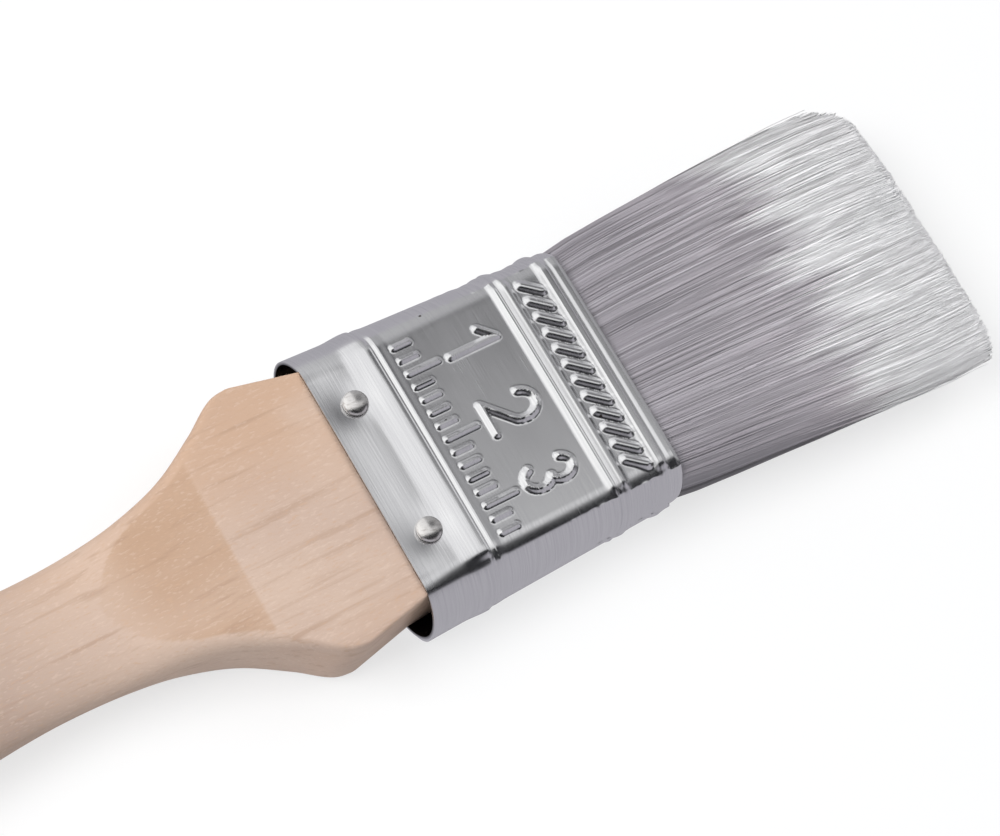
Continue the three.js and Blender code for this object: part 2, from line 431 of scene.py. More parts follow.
class Finish:
    """Base of the finishes: opens a material and gives its parts."""

    groups: dict[str, bpy.types.NodeTree] = {}

    @classmethod
    def shared(cls, name: str) -> bpy.types.NodeTree:
        """Return a shared node group, built once.

        Args:
            name: name of the group.

        Returns:
            The node group.
        """
        if name not in cls.groups:
            cls.groups[name] = {"fine_lines": fine_line_group, "specks": speck_group}[name]()
        return cls.groups[name]

    def open(self, name: str) -> tuple[bpy.types.Material, TreeBuilder, bpy.types.Node]:
        """Make a material and return it with its builder and its shader.

        Args:
            name: name of the material.

        Returns:
            The material, its builder and its Principled shader.
        """
        material = bpy.data.materials.new(name)
        material.use_nodes = True
        build = TreeBuilder(material.node_tree)
        return material, build, material.node_tree.nodes["Principled BSDF"]

    def group(self, build: TreeBuilder, name: str, **inputs: float) -> bpy.types.Node:
        """Place a shared group in a material with its own values.

        Args:
            build: builder of the tree that the nodes go into.
            name: name of the group.
            inputs: input values by name.

        Returns:
            The group's node.
        """
        made = build.node("ShaderNodeGroup", node_tree=self.shared(name))
        for label, value in inputs.items():
            made.inputs[label].default_value = value
        return made

    def attribute(self, build: TreeBuilder, name: str) -> Socket:
        """Return a number stored on the mesh."""
        return build.node("ShaderNodeAttribute", attribute_name=name).outputs["Fac"]

    def bump(self, build: TreeBuilder, height: Socket, strength: float, distance: float) -> Socket:
        """Return a normal bent by a height."""
        made = build.node(
            "ShaderNodeBump", {"Height": height, "Strength": strength, "Distance": distance}
        )
        return made.outputs["Normal"]


@dataclass(frozen=True)
class WoodFinish(Finish):
    """Bare sanded pale hardwood with fine pores and short ray flecks, and painted shade darkening the rear of
    the handle.
    """

    pale: tuple = (0.6, 0.45, 0.36, 1)
    warm: tuple = (0.56, 0.37, 0.255, 1)
    pink: tuple = (0.54, 0.4, 0.325, 1)
    amber: tuple = (0.49, 0.32, 0.215, 1)
    # painted shade: darker, greyer colour laid over the rear of the handle
    painted_rear_shade: tuple = (0.42, 0.31, 0.255, 1)
    pore: tuple = (0.4, 0.26, 0.18, 1)
    light_fleck: tuple = (0.74, 0.58, 0.48, 1)
    roughness: float = 0.62

    def make(self, name: str) -> bpy.types.Material:
        """Return the wood material.

        Args:
            name: name of the material.

        Returns:
            The finished material.
        """
        material, build, shader = self.open(name)
        grain = self.group(build, "fine_lines", Along=42.0, Across=900.0, Depth=900.0)
        place = build.node("ShaderNodeTexCoord").outputs["Object"]
        broad = build.noise(build.stretched(place, (14, 70, 70)), 1.0, 3.0)
        blotch = build.noise(build.stretched(place, (45, 60, 60)), 1.0, 2.0)
        dash = build.noise(build.stretched(place, (1000, 3300, 3300), (0, 0, 0.2)), 1.0, 2.0)
        scoop = self.attribute(build, "scoop")
        colour = build.mix_colour(build.ramp(blotch, 0.35, 0.68), self.pale, self.pink)
        warmth = build.math("MULTIPLY", build.ramp(broad, 0.5, 0.75), 0.55)
        colour = build.mix_colour(warmth, colour, self.warm)
        spot = build.node("ShaderNodeSeparateXYZ", {0: place})
        across = build.ramp(spot.outputs[1], -0.002, 0.014)
        far = build.math("MULTIPLY", across, build.ramp(blotch, 0.25, 0.5))
        colour = build.mix_colour(build.math("MULTIPLY", far, 0.8), colour, self.warm)
        # painted shade: the handle is darkened and greyed from 34 to 60 mm behind the ferrule, and stays so
        # to the tail
        rear_shade_share = build.ramp(spot.outputs[0], OPEN_X - 34 * MM, OPEN_X - 60 * MM)
        colour = build.mix_colour(build.math("MULTIPLY", rear_shade_share, 0.75), colour, self.painted_rear_shade)
        patchy = build.math("MULTIPLY_ADD", build.ramp(broad, 0.35, 0.6), 0.4, 0.55)
        colour = build.mix_colour(build.math("MULTIPLY", scoop, patchy), colour, self.amber)
        lines = build.ramp(grain.outputs["Lines"], 0.52, 0.74)
        colour = build.mix_colour(build.math("MULTIPLY", lines, 0.5), colour, self.pore)
        flecks = build.ramp(dash, 0.56, 0.74)
        colour = build.mix_colour(build.math("MULTIPLY", flecks, 0.5), colour, self.warm)
        light = build.ramp(dash, 0.44, 0.3)
        colour = build.mix_colour(build.math("MULTIPLY", light, 0.24), colour, self.light_fleck)
        build.feed(shader.inputs["Base Color"], colour)
        rough = build.math("MULTIPLY_ADD", grain.outputs["Patches"], 0.16, self.roughness - 0.08)
        build.feed(shader.inputs["Roughness"], rough)
        height = build.math("ADD", build.math("MULTIPLY", grain.outputs["Lines"], 0.6), dash)
        build.feed(shader.inputs["Normal"], self.bump(build, height, 0.5, 0.00012))
        shader.inputs["Specular IOR Level"].default_value = 0.35
        return material


@dataclass(frozen=True)
class SheetFinish(Finish):
    """Bright plated sheet, finely brushed across the width, with scuffs and specks."""

    bright: tuple = (0.93, 0.93, 0.935, 1)
    dull: tuple = (0.85, 0.85, 0.86, 1)
    speck: tuple = (0.2, 0.18, 0.17, 1)
    unlit_inside: tuple = (0.015, 0.014, 0.013, 1)
    roughness: float = 0.15

    def make(self, name: str) -> bpy.types.Material:
        """Return the sheet metal material.

        Args:
            name: name of the material.

        Returns:
            The finished material.
        """
        material, build, shader = self.open(name)
        brushed = self.group(build, "fine_lines", Along=110.0, Across=5200.0, Depth=110.0, Turn=math.pi / 2)
        scratch = self.group(build, "fine_lines", Along=30.0, Across=1500.0, Depth=1500.0, Turn=0.5)
        specks = self.group(build, "specks", Density=420.0, Size=0.09)
        lines = brushed.outputs["Lines"]
        patches = brushed.outputs["Patches"]
        scuffs = build.ramp(scratch.outputs["Lines"], 0.68, 0.8)
        colour = build.mix_colour(build.ramp(lines, 0.3, 0.75), self.bright, self.dull)
        worn = build.math("MULTIPLY", build.ramp(patches, 0.4, 0.75), 0.4)
        colour = build.mix_colour(worn, colour, self.dull)
        colour = build.mix_colour(build.math("MULTIPLY", scuffs, 0.35), colour, self.dull)
        colour = build.mix_colour(specks.outputs["Specks"], colour, self.speck)
        colour = build.mix_colour(self.attribute(build, "inside"), colour, self.unlit_inside)
        build.feed(shader.inputs["Base Color"], colour)
        shader.inputs["Metallic"].default_value = 1.0
        rough = build.math("MULTIPLY_ADD", lines, 0.14, self.roughness - 0.05)
        rough = build.math("MULTIPLY_ADD", patches, 0.12, rough)
        build.feed(shader.inputs["Roughness"], rough)
        height = build.math("SUBTRACT", lines, build.math("MULTIPLY", scuffs, 0.5))
        build.feed(shader.inputs["Normal"], self.bump(build, height, 0.16, 0.00003))
        return material


@dataclass(frozen=True)
class NailFinish(Finish):
    """Polished plated nail heads with light handling marks."""

    bright: tuple = (0.9, 0.88, 0.86, 1)
    dull: tuple = (0.68, 0.65, 0.62, 1)
    roughness: float = 0.24

    def make(self, name: str) -> bpy.types.Material:
        """Return the nail material.

        Args:
            name: name of the material.

        Returns:
            The finished material.
        """
        material, build, shader = self.open(name)
        marks = self.group(build, "fine_lines", Along=900.0, Across=2500.0, Depth=2500.0, Turn=0.3)
        worn = build.ramp(marks.outputs["Lines"], 0.45, 0.8)
        build.feed(shader.inputs["Base Color"], build.mix_colour(worn, self.bright, self.dull))
        shader.inputs["Metallic"].default_value = 1.0
        rough = build.math("MULTIPLY_ADD", worn, 0.15, self.roughness)
        build.feed(shader.inputs["Roughness"], rough)
        build.feed(shader.inputs["Normal"], self.bump(build, marks.outputs["Lines"], 0.12, 0.00003))
        return material


@dataclass(frozen=True)
class FilamentFinish(Finish):
    """Synthetic filament: grey with a mauve cast from the root, frosted white at the tapered tip."""

    root: tuple = (0.36, 0.335, 0.365, 1)
    middle: tuple = (0.49, 0.455, 0.49, 1)
    shade: tuple = (0.27, 0.25, 0.275, 1)
    mauve: tuple = (0.52, 0.41, 0.46, 1)
    tip: tuple = (0.93, 0.92, 0.925, 1)
    glint: tuple = (0.58, 0.555, 0.59, 1)
    turn_low: float = 0.46
    turn_high: float = 0.7
    lay_share: float = 0.87

    def make(self, name: str) -> bpy.types.Material:
        """Return the filament material.

        Args:
            name: name of the material.

        Returns:
            The finished material.
        """
        material, build, shader = self.open(name)
        along = self.attribute(build, "along")
        tone = self.attribute(build, "tone")
        place = build.node("ShaderNodeTexCoord").outputs["Object"]
        fingers = build.noise(build.stretched(place, (25, 420, 420)), 1.0, 2.0)
        stagger = build.math("MULTIPLY_ADD", build.math("SUBTRACT", fingers, 0.5), 0.5, along)
        stagger = build.math("MULTIPLY_ADD", tone, 0.06, stagger)
        whitening = build.ramp(stagger, self.turn_low, self.turn_high)
        colour = build.mix_colour(build.ramp(along, 0.1, 0.55), self.root, self.middle)
        dark = build.math("MULTIPLY", build.ramp(tone, -0.4, -1.0), 0.4)
        colour = build.mix_colour(dark, colour, self.shade)
        lit = build.math("MULTIPLY", build.ramp(tone, 0.5, 1.0), 0.7)
        colour = build.mix_colour(lit, colour, self.glint)
        cast = build.math("MULTIPLY", build.ramp(stagger, 0.4, 0.58), build.ramp(stagger, 0.74, 0.58))
        patch = build.ramp(build.noise(build.stretched(place, (30, 90, 90)), 1.0, 1.0), 0.45, 0.7)
        cast = build.math("MULTIPLY", cast, patch)
        colour = build.mix_colour(build.math("MULTIPLY", cast, 0.5), colour, self.mauve)
        colour = build.mix_colour(whitening, colour, self.tip)
        build.feed(shader.inputs["Base Color"], colour)
        rough = build.math("MULTIPLY_ADD", whitening, 0.2, 0.36)
        build.feed(shader.inputs["Roughness"], rough)
        shader.inputs["Specular IOR Level"].default_value = 0.4
        lay = build.node("ShaderNodeAttribute", attribute_name="lay").outputs["Vector"]
        strand = build.node("ShaderNodeNewGeometry").outputs["Normal"]
        blend = build.node("ShaderNodeMix", data_type="VECTOR")
        blend.inputs[0].default_value = self.lay_share
        build.feed(blend.inputs[4], strand)
        build.feed(blend.inputs[5], lay)
        soft = build.node("ShaderNodeVectorMath", {0: blend.outputs[1]}, operation="NORMALIZE")
        build.feed(shader.inputs["Normal"], soft.outputs[0])
        return material


@dataclass(frozen=True)
class ResinFinish(Finish):
    """Set amber resin with fine bubbles."""

    colour: tuple = (0.16, 0.11, 0.06, 1)
    deep: tuple = (0.07, 0.045, 0.02, 1)

    def make(self, name: str) -> bpy.types.Material:
        """Return the resin material.

        Args:
            name: name of the material.

        Returns:
            The finished material.
        """
        material, build, shader = self.open(name)
        marks = self.group(build, "fine_lines", Along=700.0, Across=700.0, Depth=700.0)
        build.feed(
            shader.inputs["Base Color"],
            build.mix_colour(marks.outputs["Patches"], self.colour, self.deep),
        )
        rough = build.math("MULTIPLY_ADD", marks.outputs["Lines"], 0.2, 0.2)
        build.feed(shader.inputs["Roughness"], rough)
        build.feed(shader.inputs["Normal"], self.bump(build, marks.outputs["Lines"], 0.3, 0.0001))
        return material


# ---------------------------------------------------------------- the handle


@dataclass
class Handle:
    """One-piece wooden handle: tenon, flat block, scooped flats, oval neck, belly and round tail."""

    tenon_length: float = 14 * MM
    block_half_thick: float = 6.85 * MM
    ridge_back: float = 19 * MM
    scoop_end_back: float = 36.7 * MM
    scoop_drop: float = 1.7 * MM
    shoulder_back: float = 9.3 * MM
    oval_back: float = 48 * MM
    square_exponent: float = 16.0
    oval_exponent: float = 2.4
    tail_round: float = 12.5 * MM
    edge_softness: float = 0.3 * MM
    hole_radius: float = 4 * MM
    hole_from_tail: float = 14 * MM
    hole_mouth: float = 6.6 * MM
    hole_flare: float = 1.1 * MM
    front_places: tuple = (-14, 0, 9.3)
    front_half_widths: tuple = (15.9, 16.9, 18.9)
    front_half_thicks: tuple = (7.4, 7.55, 7.7)
    columns: int = 224
    row_step: float = 0.5 * MM
    # distance behind the ferrule, half width and half thickness, in millimetres
    stations: list = field(default_factory=lambda: [
        (9.3, 18.9, 7.7), (11.4, 18.7, 7.6), (16.5, 15.6, 7.3), (22, 12.5, 7.1), (30, 10.2, 6.5),
        (36.7, 9.45, 5.15), (46, 9.1, 4.85), (64, 10.5, 6.2), (92, 13.6, 8.45), (110, 12.6, 7.7),
        (120.5, 11.2, 6.8), (133, 10.0, 6.0),
    ])

    def row_places(self) -> np.ndarray:
        """Return how far behind the ferrule's edge each row of points lies.

        Returns:
            Distances in metres, from the tenon to the tail.
        """
        tail = OPEN_X - TAIL_X
        body = np.arange(-self.tenon_length, tail - self.tail_round, self.row_step)
        rounding = np.sin(np.linspace(0, math.pi / 2, 22)) * self.tail_round
        return np.concatenate([body, tail - self.tail_round + rounding])

    def half_sizes(self, back: np.ndarray) -> tuple[np.ndarray, np.ndarray]:
        """Return half width and half thickness of the rounded stick before its flats are planed.

        Args:
            back: distance behind the ferrule's open edge, in metres.

        Returns:
            Half widths and half thicknesses in metres.
        """
        width, thick = through(self.stations, back / MM)
        straight = np.interp(back / MM, self.front_places, self.front_half_widths)
        straight_thick = np.interp(back / MM, self.front_places, self.front_half_thicks)
        width = np.where(back < self.shoulder_back, straight, width) * MM
        thick = np.where(back < self.shoulder_back, straight_thick, thick) * MM
        depth = np.clip((back - (OPEN_X - TAIL_X - self.tail_round)) / self.tail_round, 0, 1)
        shrink = np.sqrt(np.clip(1 - depth**2, 0.0, 1.0))
        return width * np.maximum(shrink, 0.02), thick * np.maximum(np.sqrt(shrink), 0.1)

    def flat_height(self, back: np.ndarray) -> np.ndarray:
        """Return the height of the planed flats above the middle.

        Args:
            back: distance behind the ferrule's open edge, in metres.

        Returns:
            Heights in metres.
        """
        block = self.block_half_thick
        low = block - self.scoop_drop
        return np.interp(
            back,
            [-self.tenon_length, 0, self.ridge_back, self.scoop_end_back, self.oval_back],
            [block - 0.3 * MM, block, block, low, 4 * low],
        )

    def build(self) -> bpy.types.Object:
        """Return the finished handle.

        Returns:
            The handle, bored and with its scoop marked.
        """
        back = self.row_places()[:, None]
        half_width, half_thick = self.half_sizes(back)
        squareness = np.clip((self.oval_back - back) / (self.oval_back - self.shoulder_back), 0, 1) ** 3
        exponent = self.oval_exponent + (self.square_exponent - self.oval_exponent) * squareness
        angle = np.linspace(0, 2 * math.pi, self.columns, endpoint=False)[None, :]
        c, s = np.cos(angle), np.sin(angle)
        flat = self.flat_height(back) + 0 * angle
        rise = s * half_thick
        run = c * half_width
        reach = (np.abs(c) ** exponent + np.abs(s) ** exponent) ** (-1 / exponent)
        y = run * reach
        z_round = rise * reach
        height = smooth_min(np.abs(z_round), flat, self.edge_softness)
        height = np.where(np.abs(z_round) < 0.5 * flat, np.abs(z_round), height)
        z = np.sign(z_round) * height
        x = OPEN_X - back + 0 * angle
        obj = capped_tube("handle_turned", np.stack([x, y, MID_Z + z], -1))
        planed = (np.abs(z_round) > flat) * smoothstep(self.ridge_back, self.ridge_back + 0.6 * MM, back)
        fade = 1 - 0.75 * smoothstep(self.ridge_back + 9 * MM, self.scoop_end_back + MM, back)
        set_attribute(obj, "scoop", planed * fade * (back < self.scoop_end_back + MM))
        self.cut_hang_hole(obj)
        obj.data.set_sharp_from_angle(angle=math.radians(50))
        return obj

    def cut_hang_hole(self, obj: bpy.types.Object) -> None:
        """Bore the hang hole with softly broken edges.

        Args:
            obj: the turned handle.
        """
        half, flare = self.hole_mouth, self.hole_flare
        profile = [(0.0, -3 * half), (self.hole_radius + 3 * flare, -3 * half)]
        for i in range(7):
            a = math.pi / 2 * i / 6
            height = -half + flare * (1 - math.cos(a)) - flare
            profile.append((self.hole_radius + flare * (1 - math.sin(a)), height))
        profile += [(r, -z) for r, z in reversed(profile[2:])]
        profile += [(self.hole_radius + 3 * flare, 3 * half), (0.0, 3 * half)]
        cutter = lathe("hang_hole_cutter", profile, 64)
        cutter.data.transform(Matrix.Translation((TAIL_X + self.hole_from_tail, 0, MID_Z)))
        cut = obj.modifiers.new("hang_hole", "BOOLEAN")
        cut.operation = "DIFFERENCE"
        cut.solver = "EXACT"
        cut.object = cutter
        bake_modifiers(obj)
        bpy.data.objects.remove(cutter)


# ---------------------------------------------------------------- the ferrule


@dataclass
class Relief:
    """Pressed relief of a panel: a centimetre scale with numerals, the rope band and nail dimples."""

    stroke: float = 0.95
    press: float = 0.5
    numeral_height: float = 7.2
    numeral_width: float = 5.6
    numeral_foot: float = 18.9
    tick_foot: float = 12.6
    tick_pitch: float = 2.0
    tick_lengths: tuple = (4.6, 2.4)
    bar_count: int = 12
    bar_span: float = 13.6
    bar_centre: float = 33.9
    bar_run: tuple = (1.15, -0.95)
    bar_width: float = 1.3
    nail_x: float = 4.3
    nail_y: float = 9.5

    def arc(self, cx: float, cy: float, radius: float, start: float, end: float) -> list:
        """Return points of an arc in a numeral's unit cell, angles in degrees."""
        angles = np.radians(np.linspace(start, end, 12))
        return [(cx + radius * math.cos(a), cy + radius * math.sin(a)) for a in angles]

    def numerals(self) -> list[list[tuple[float, float]]]:
        """Return the strokes of the numerals 1, 2 and 3, each in a unit cell.

        Returns:
            A list of points for each numeral.
        """
        one = [(0.2, 0.72), (0.55, 1.0), (0.55, 0.0)]
        two = self.arc(0.5, 0.68, 0.34, 165, -35) + [(0.12, 0.0), (0.9, 0.0)]
        three = self.arc(0.45, 0.735, 0.265, 160, -60) + self.arc(0.45, 0.27, 0.27, 70, -160)
        return [one, two, three]

    def strokes(self) -> list[tuple]:
        """Return every stroke of the scale as x, y, x, y in millimetres, tops towards the filaments.

        Returns:
            The two ends of each stroke.
        """
        lines = []
        for centre, shape in zip((10.0, 0.0, -10.0), self.numerals()):
            spots = [
                (self.numeral_foot + v * self.numeral_height, centre - (u - 0.5) * self.numeral_width)
                for u, v in shape
            ]
            lines += [(*a, *b) for a, b in zip(spots, spots[1:])]
        for i in range(-7, 8):
            y = i * self.tick_pitch
            length = self.tick_lengths[0 if i % 5 == 0 else 1]
            lines.append((self.tick_foot, y, self.tick_foot + length, y))
        return lines

    def distance(self, x: np.ndarray, y: np.ndarray, line: tuple) -> np.ndarray:
        """Return how far each point lies from a stroke.

        Args:
            x: distance from the ferrule's open edge, in millimetres.
            y: distance across the ferrule, in millimetres.
            line: the two ends of the stroke.

        Returns:
            Distances in millimetres.
        """
        ax, ay, bx, by = line
        dx, dy = bx - ax, by - ay
        t = np.clip(((x - ax) * dx + (y - ay) * dy) / (dx * dx + dy * dy), 0, 1)
        return np.hypot(x - ax - t * dx, y - ay - t * dy)

    def raised(self, gap: np.ndarray, half_width: float) -> np.ndarray:
        """Return the rounded shoulder of a pressed shape at a distance from its middle line."""
        return 1.0 - smoothstep(half_width - 0.5, half_width + 0.3, gap)

    def scale_height(self, x: np.ndarray, y: np.ndarray) -> np.ndarray:
        """Return the height of the numerals and ticks.

        Args:
            x: distance from the ferrule's open edge, in millimetres.
            y: distance across the ferrule, in millimetres.

        Returns:
            Heights in millimetres.
        """
        height = np.zeros(np.broadcast(x, y).shape)
        for line in self.strokes():
            half = self.stroke / 2 if line[0] != self.tick_foot else self.stroke * 0.36
            height = np.maximum(height, self.raised(self.distance(x, y, line), half))
        return height * self.press

    def rope_height(self, x: np.ndarray, y: np.ndarray) -> np.ndarray:
        """Return the height of the slanted bars of the rope band.

        Args:
            x: distance from the ferrule's open edge, in millimetres.
            y: distance across the ferrule, in millimetres.

        Returns:
            Heights in millimetres.
        """
        height = np.zeros(np.broadcast(x, y).shape)
        run_x, run_y = self.bar_run
        for centre in np.linspace(-self.bar_span, self.bar_span, self.bar_count):
            line = (self.bar_centre - run_x, centre - run_y, self.bar_centre + run_x, centre + run_y)
            height = np.maximum(height, self.raised(self.distance(x, y, line), self.bar_width / 2))
        return height * self.press

    def dimple_height(self, x: np.ndarray, y: np.ndarray) -> np.ndarray:
        """Return the shallow dents round the nails."""
        gap = np.hypot(x - self.nail_x, np.abs(y) - self.nail_y)
        return -0.3 * np.exp(-((gap / 2.7) ** 2))


@dataclass
class Ferrule:
    """Wrapped sheet metal ferrule with rolled beads, pressed relief and a folded lock seam."""

    panel_half_width: float = 16.5
    panel_level_half: float = 14.3
    fold_drop: float = 0.45
    open_half_thick: float = 7.6
    mouth_half_thick: float = 6.9
    open_bulge: float = 4.1
    mouth_bulge: float = 2.6
    sheet: float = 0.45
    front_columns: int = 190
    back_columns: int = 90
    side_columns: int = 34
    relief: Relief = field(default_factory=Relief)

    def length(self) -> float:
        """Return the ferrule's length in millimetres."""
        return (MOUTH_X - OPEN_X) / MM

    def rows(self) -> np.ndarray:
        """Return the outer rows, closer together where the relief is fine."""
        return np.concatenate([
            np.arange(0, 6.8, 0.4), np.arange(6.8, 10.8, 0.2), np.arange(10.8, 28.4, 0.18),
            np.arange(28.4, self.length() - 0.1, 0.17), [self.length()],
        ])

    def bead_height(self, x: np.ndarray) -> np.ndarray:
        """Return the height of the rolled beads."""
        return (
            0.65 * ridge(x, 5.6, 9.2, 9.5, 10.2)
            + 0.22 * ridge(x, 10.2, 10.7, 10.8, 12.2)
            + 0.5 * ridge(x, 28.3, 29.1, 29.2, 29.8)
            + 0.6 * ridge(x, 29.8, 30.5, 30.7, 31.9)
            + 0.65 * ridge(x, 35.6, 36.4, 37.0, 37.9)
            + 0.14 * smoothstep(37.7, 38.3, x)
            - 0.3 * smoothstep(38.9, 39.5, x)
        )

    def half_thick(self, x: np.ndarray) -> np.ndarray:
        """Return the panels' height above the middle."""
        return self.open_half_thick + (self.mouth_half_thick - self.open_half_thick) * x / self.length()

    def side_circle(self, x: np.ndarray) -> tuple[np.ndarray, np.ndarray, np.ndarray]:
        """Return centre, radius and half angle of the arched side at x.

        Args:
            x: distance from the ferrule's open edge, in millimetres.

        Returns:
            Distance of the centre from the middle, radius, and half angle in radians.
        """
        bulge = self.open_bulge + (self.mouth_bulge - self.open_bulge) * x / self.length()
        fold = self.half_thick(x) - self.fold_drop
        radius = (fold**2 + bulge**2) / (2 * bulge)
        return self.panel_half_width + bulge - radius, radius, np.arcsin(fold / radius)

    def columns(self) -> tuple[np.ndarray, np.ndarray, np.ndarray]:
        """Return for each column the side's turn from -1 to 1, the panel position, and +1/-1 on a panel.

        Returns:
            Panel positions, turns, and panel signs, with 0 on a narrow side.
        """
        w = self.panel_half_width
        turn = np.linspace(-1, 1, self.side_columns)
        front = np.linspace(w, -w, self.front_columns + 2)[1:-1]
        back = np.linspace(-w, w, self.back_columns + 2)[1:-1]
        place = np.concatenate([np.full(self.side_columns, w), front, np.full(self.side_columns, -w), back])
        turns = np.concatenate([turn, 0 * front, turn, 0 * back])
        panel = np.concatenate([0 * turn, 1 + 0 * front, 0 * turn, -1 + 0 * back])
        return place, turns, panel

    def relief_height(self, x: np.ndarray, y: np.ndarray, panel: np.ndarray) -> np.ndarray:
        """Return how far the outer face stands out from the plain section.

        Args:
            x: distance from the ferrule's open edge, in millimetres.
            y: distance across the ferrule, in millimetres.
            panel: 1 on the front panel, -1 on the back, 0 on a side.

        Returns:
            Heights in millimetres.
        """
        edge = smoothstep(0.0, 1.3, self.panel_half_width - np.abs(y))
        level = (panel != 0) * edge
        rise = self.bead_height(x) * (0.45 + 0.55 * level)
        rise = rise + (self.relief.rope_height(x, y) + self.relief.dimple_height(x, y)) * level
        return rise + self.relief.scale_height(x, y) * (panel > 0) * level

    def wall(self, x: np.ndarray, offset: np.ndarray) -> np.ndarray:
        """Return points of the section at x, moved outwards by offset.

        Args:
            x: distance from the ferrule's open edge, in millimetres.
            offset: how far outwards, in millimetres.

        Returns:
            Points in metres, by row and column.
        """
        place, turns, panel = (row[None, :] for row in self.columns())
        centre, radius, half_angle = self.side_circle(x)
        angle = turns * half_angle
        wrinkle = np.sin(x * 1.9 + 2.6 * turns) * np.sin(x * 0.83 + 1.7) * smoothstep(20, 30, x)
        reach = radius + offset + 0.1 * wrinkle * np.cos(angle)
        side_y = np.sign(place) * (centre + reach * np.cos(angle))
        side_z = np.sign(place) * reach * np.sin(angle)
        fold_width = self.panel_half_width - self.panel_level_half
        out = np.clip((np.abs(place) - self.panel_level_half) / fold_width, 0, 1)
        crown = 0.22 * (1 - (place / self.panel_half_width) ** 2) - 0.1 * np.sin(math.pi * x / self.length())
        gripped = 0.28 * (1 - smoothstep(-1.0, 6.5, x))
        level = self.half_thick(x) - self.fold_drop * out**2 + (crown - gripped) * (1 - out) + offset
        y = np.where(panel == 0, side_y, place)
        z = np.where(panel == 0, side_z, panel * level)
        return np.stack([(OPEN_X / MM + x + 0 * y) * MM, y * MM, MID_Z + z * MM], -1)

    def build(self) -> bpy.types.Object:
        """Return the finished ferrule.

        Returns:
            The ferrule, with its inside marked.
        """
        place, _, panel = self.columns()
        outer_x = self.rows()[:, None]
        outer = self.wall(outer_x, self.relief_height(outer_x, place[None, :], panel[None, :]))
        inner_x = np.linspace(self.length(), 0, 12)[:, None]
        curl = -0.3 * smoothstep(38.9, 39.5, inner_x)
        inner = self.wall(inner_x, curl - self.sheet + 0 * place[None, :])
        points = np.concatenate([outer, inner])
        faces = grid_faces(len(points), len(place), True)
        obj = mesh_object("ferrule_sheet", points.reshape(-1, 3), faces)
        inside = np.repeat([0.0, 1.0], [outer.shape[0] * len(place), inner.shape[0] * len(place)])
        set_attribute(obj, "inside", inside)
        face_outwards(obj)
        obj.data.set_sharp_from_angle(angle=math.radians(22))
        return obj


@dataclass
class Seam:
    """Folded lock seam of the ferrule on the lower part of one narrow side."""

    ferrule: Ferrule
    start_turn: float = 0.22
    end_turn: float = 0.86
    layer: float = 0.45
    inset: float = 0.25
    steps: int = 60

    def profile(self, x: np.ndarray) -> np.ndarray:
        """Return the seam's closed section at each x, folded edges rounded.

        Args:
            x: distance from the ferrule's open edge, in millimetres.

        Returns:
            Points in metres, by row and column.
        """
        turn = np.linspace(self.start_turn, self.end_turn, 14)
        edge = np.sin(np.linspace(0, math.pi, 14)) ** 0.35
        out = np.concatenate([self.layer * edge, np.full(14, -0.1)])[None, :]
        centre, radius, half_angle = self.ferrule.side_circle(x)
        angle = np.concatenate([turn, turn[::-1]])[None, :] * half_angle
        reach = radius + out + 0.4 * self.ferrule.bead_height(x)
        side = -(centre + reach * np.cos(angle))
        up = -reach * np.sin(angle)
        return np.stack([(OPEN_X / MM + x + 0 * up) * MM, side * MM, MID_Z + up * MM], -1)

    def build(self) -> bpy.types.Object:
        """Return the finished seam."""
        x = np.linspace(self.inset, self.ferrule.length() - 3 * self.inset, self.steps)[:, None]
        obj = capped_tube("ferrule_seam", self.profile(x))
        obj.data.set_sharp_from_angle(angle=math.radians(40))
        return obj


# ---------------------------------------------------------------- geometry node tools


def geometry_tree(name: str, inputs: dict[str, tuple[str, object]]) -> tuple:
    """Start a geometry node tree with a geometry input and output and named inputs.

    Args:
        name: name of the tree.
        inputs: socket type and default value by input name.

    Returns:
        The tree, its builder, its input node and its output node.
    """
    tree = bpy.data.node_groups.new(name, "GeometryNodeTree")
    tree.interface.new_socket("Geometry", in_out="INPUT", socket_type="NodeSocketGeometry")
    tree.interface.new_socket("Geometry", in_out="OUTPUT", socket_type="NodeSocketGeometry")
    for label, (kind, value) in inputs.items():
        socket = tree.interface.new_socket(label, in_out="INPUT", socket_type=kind)
        if value is not None:
            socket.default_value = value
    build = TreeBuilder(tree)
    return tree, build, build.node("NodeGroupInput"), build.node("NodeGroupOutput")


def run_tree(obj: bpy.types.Object, tree: bpy.types.NodeTree, values: dict[str, object]) -> None:
    """Run a geometry node tree on an object and keep the plain result.

    Args:
        obj: object whose mesh feeds the tree.
        tree: the tree to run.
        values: input values by name.
    """
    modifier = obj.modifiers.new(tree.name, "NODES")
    modifier.node_group = tree
    sockets = {item.name: item.identifier for item in tree.interface.items_tree if item.in_out == "INPUT"}
    for label, value in values.items():
        modifier[sockets[label]] = value
    bake_modifiers(obj)


def store(build: TreeBuilder, geometry: Socket, name: str, value: Socket, kind: str = "FLOAT") -> Socket:
    """Store a named value on the points of a geometry and return the geometry.

    Args:
        build: builder of the tree that the nodes go into.
        geometry: geometry to store on.
        name: name of the value.
        value: field to store.
        kind: Blender's name of the data type.

    Returns:
        The geometry with the value on it.
    """
    made = build.node("GeometryNodeStoreNamedAttribute", data_type=kind, domain="POINT")
    build.feed(made.inputs["Geometry"], geometry)
    made.inputs["Name"].default_value = name
    build.feed(made.inputs["Value"], value)
    return made.outputs["Geometry"]


def named(build: TreeBuilder, name: str, kind: str = "FLOAT") -> Socket:
    """Return the field of a named attribute.

    Args:
        build: builder of the tree that the nodes go into.
        name: name of the value.
        kind: Blender's name of the data type.

    Returns:
        The value as a field.
    """
    made = build.node("GeometryNodeInputNamedAttribute", data_type=kind)
    made.inputs["Name"].default_value = name
    return made.outputs["Attribute"]


# ---------------------------------------------------------------- nails


